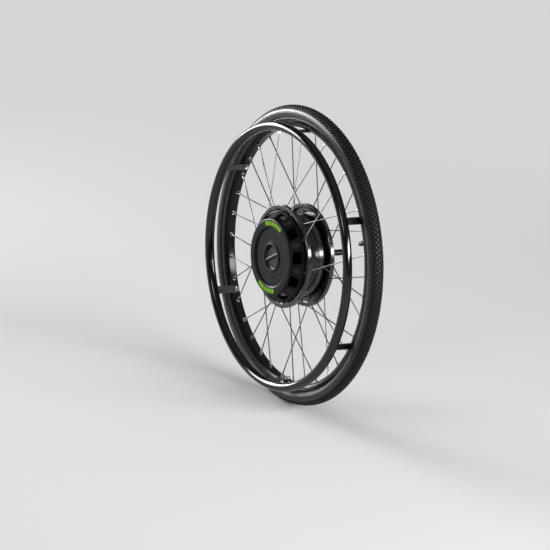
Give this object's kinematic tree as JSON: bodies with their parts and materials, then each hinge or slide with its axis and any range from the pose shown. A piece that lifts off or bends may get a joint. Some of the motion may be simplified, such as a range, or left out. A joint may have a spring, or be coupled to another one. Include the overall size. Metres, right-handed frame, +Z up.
{
  "type": "wheelchair power-assist wheel",
  "caption": "Spoked wheelchair drive wheel with a hub motor, a push rim on tabs, a vented round hub cover and a quick-release axle with a turn knob.",
  "frame": {"origin": "on the axle, at the seat ring that rests against the chair's axle receiver", "axes": "+Y along the axle, inboard toward the chair; +Z up; the wheel stands in the XZ plane"},
  "size_m": [0.61, 0.1855, 0.61],
  "materials": {
    "tyre": "matte black rubber with a satin sidewall",
    "rubber": "black butyl and seal rubber",
    "rim_black": "gloss black anodised",
    "tape": "woven rim tape",
    "valve_metal": "nickel plated",
    "cap_plastic": "moulded black",
    "spoke_steel": "dark stainless",
    "nipple_brass": "nickelled brass",
    "push_rim_metal": "polished black anodised",
    "tab_metal": "satin black",
    "bright_steel": "bright plated",
    "hub_black": "polished blue-black",
    "cover_plastic": "charcoal moulded plastic",
    "knob_plastic": "black moulded plastic",
    "cap_brown": "moulded grey-brown",
    "screw_steel": "browned steel",
    "steel": "ground steel",
    "pin_steel": "black oxide",
    "iron": "laminated and forged iron",
    "copper": "enamelled winding wire",
    "alloy": "machined",
    "board": "circuit board",
    "lead": "insulated lead",
    "socket_plastic": "moulded black",
    "cage": "pressed brass"
  },
  "bodies": {
    "fixed_unit": {"axle": "steel", "axle_nut": "steel", "stator_carrier": "alloy", "carrier_key": "steel", "stator_core": "iron", "stator_coils": "copper", "controller_board": "board", "board_screws": "screw_steel", "power_lead": "lead", "front_bearing_inner": "steel", "rear_bearing_inner": "steel", "torque_plate": "alloy", "plate_screws": "screw_steel", "torque_pins": "steel", "power_socket": "socket_plastic", "release_pin": "pin_steel"},
    "wheel": {"tyre": "tyre", "inner_tube": "rubber", "rim": "rim_black", "rim_tape": "tape", "valve_stem": "valve_metal", "valve_nut": "valve_metal", "valve_cap": "cap_plastic", "spokes_outboard": "spoke_steel", "spokes_inboard": "spoke_steel", "spoke_nipples": "nipple_brass", "push_rim": "push_rim_metal", "push_rim_tabs": "tab_metal", "tab_screws": "bright_steel", "tab_inserts": "nipple_brass", "hub_shell": "hub_black", "rear_cover": "hub_black", "rear_cover_screws": "screw_steel", "front_cover": "cover_plastic", "cover_disc": "cover_plastic", "cover_screws": "screw_steel", "screw_caps": "cap_brown", "back_iron": "iron", "rotor_magnets": "iron", "front_bearing_outer": "steel", "rear_bearing_outer": "steel", "shaft_seal": "rubber"},
    "knob": {"release_knob": "knob_plastic"},
    "plunger": {"plunger_rod": "steel", "cam_pin": "steel"},
    "ball_upper": {"lock_ball_upper": "steel"},
    "ball_lower": {"lock_ball_lower": "steel"},
    "front_ball_set": {"front_bearing_balls": "steel", "front_bearing_cage": "cage"},
    "rear_ball_set": {"rear_bearing_balls": "steel", "rear_bearing_cage": "cage"}
  },
  "joints": [
    {"name": "wheel_spin", "type": "hinge", "parent": "fixed_unit", "child": "wheel", "pos_m": [0, -0.048, 0], "axis": [0, 1, 0], "continuous": true},
    {"name": "knob_turn", "type": "hinge", "parent": "fixed_unit", "child": "knob", "pos_m": [0, -0.1, 0], "axis": [0, -1, 0], "range_deg": [0, 90]},
    {"name": "plunger_slide", "type": "slide", "parent": "fixed_unit", "child": "plunger", "axis": [0, 1, 0], "range_m": [0, 0.005]},
    {"name": "upper_ball_slide", "type": "slide", "parent": "fixed_unit", "child": "ball_upper", "axis": [0, 0, -1], "range_m": [0, 0.00105]},
    {"name": "lower_ball_slide", "type": "slide", "parent": "fixed_unit", "child": "ball_lower", "axis": [0, 0, 1], "range_m": [0, 0.00105]},
    {"name": "front_cage_spin", "type": "hinge", "parent": "fixed_unit", "child": "front_ball_set", "pos_m": [0, -0.08, 0], "axis": [0, 1, 0], "continuous": true},
    {"name": "rear_cage_spin", "type": "hinge", "parent": "fixed_unit", "child": "rear_ball_set", "pos_m": [0, -0.018, 0], "axis": [0, 1, 0], "continuous": true}
  ],
  "couplings": [
    {"joint": "plunger_slide", "follows": "knob_turn", "m_per_rad": 0.003183},
    {"joint": "upper_ball_slide", "follows": "knob_turn", "m_per_rad": 0.000668},
    {"joint": "lower_ball_slide", "follows": "knob_turn", "m_per_rad": 0.000668},
    {"joint": "front_cage_spin", "follows": "wheel_spin", "ratio": 0.608},
    {"joint": "rear_cage_spin", "follows": "wheel_spin", "ratio": 0.608}
  ]
}
